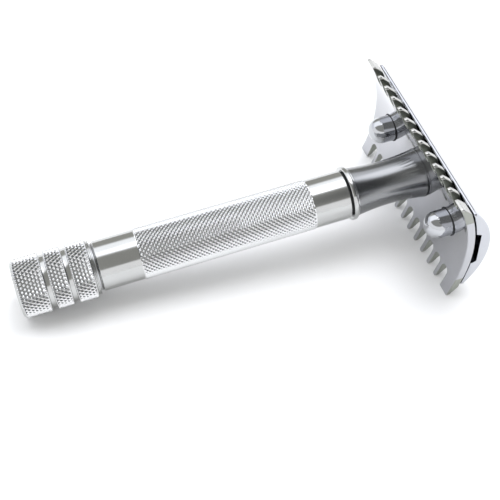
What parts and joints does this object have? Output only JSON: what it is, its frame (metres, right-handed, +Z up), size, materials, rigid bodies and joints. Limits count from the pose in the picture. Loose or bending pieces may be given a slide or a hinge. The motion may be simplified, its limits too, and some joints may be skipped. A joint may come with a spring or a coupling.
{
  "type": "safety razor",
  "caption": "Double-edge safety razor with open comb base plate, domed cap on guide pins, waisted neck, diamond-knurled barrel and banded twist knob that lifts the cap.",
  "frame": {"origin": "middle of the bounding box at its bottom: the surface that the lower comb tips and the knob's edge rest on", "axes": "+X from the knob towards the head, the handle's axis being tipped up by the resting angle in the XZ plane; +Y along the blade; +Z up"},
  "size_m": [0.0836, 0.0416, 0.0249],
  "materials": {
    "polished_chrome": "mirror-polished chrome plate",
    "turned_chrome": "chrome plate over fine turning marks",
    "satin_knurl_chrome": "chrome plate over diamond knurling, plain zones polished",
    "steel": "bright turned steel",
    "brass_bush": "turned brass"
  },
  "bodies": {
    "handle": {"base_plate": "polished_chrome", "pin_sleeve_left": "polished_chrome", "pin_sleeve_right": "polished_chrome", "neck": "turned_chrome", "barrel": "satin_knurl_chrome", "head_bush": "brass_bush", "end_bush": "brass_bush"},
    "knob": {"knob": "satin_knurl_chrome", "knob_collar": "polished_chrome", "thrust_washer": "steel", "end_plug": "polished_chrome", "knob_screw": "steel", "spindle": "steel", "draw_nut": "brass_bush", "nut_pin": "steel", "tension_washer": "steel"},
    "cap": {"top_cap": "polished_chrome", "cap_stud": "steel", "guide_pin_left": "steel", "guide_pin_right": "steel"}
  },
  "joints": [
    {"name": "cap_lift", "type": "slide", "parent": "handle", "child": "cap", "axis": [0.9958, 0, 0.0921], "range_m": [0, 0.0076]},
    {"name": "knob_turn", "type": "hinge", "parent": "handle", "child": "knob", "pos_m": [-0.02663, 0, 0.0068], "axis": [-0.9958, 0, -0.0921], "range_deg": [0, 3421]}
  ],
  "couplings": [
    {"joint": "knob_turn", "follows": "cap_lift", "rad_per_m": 7854}
  ]
}
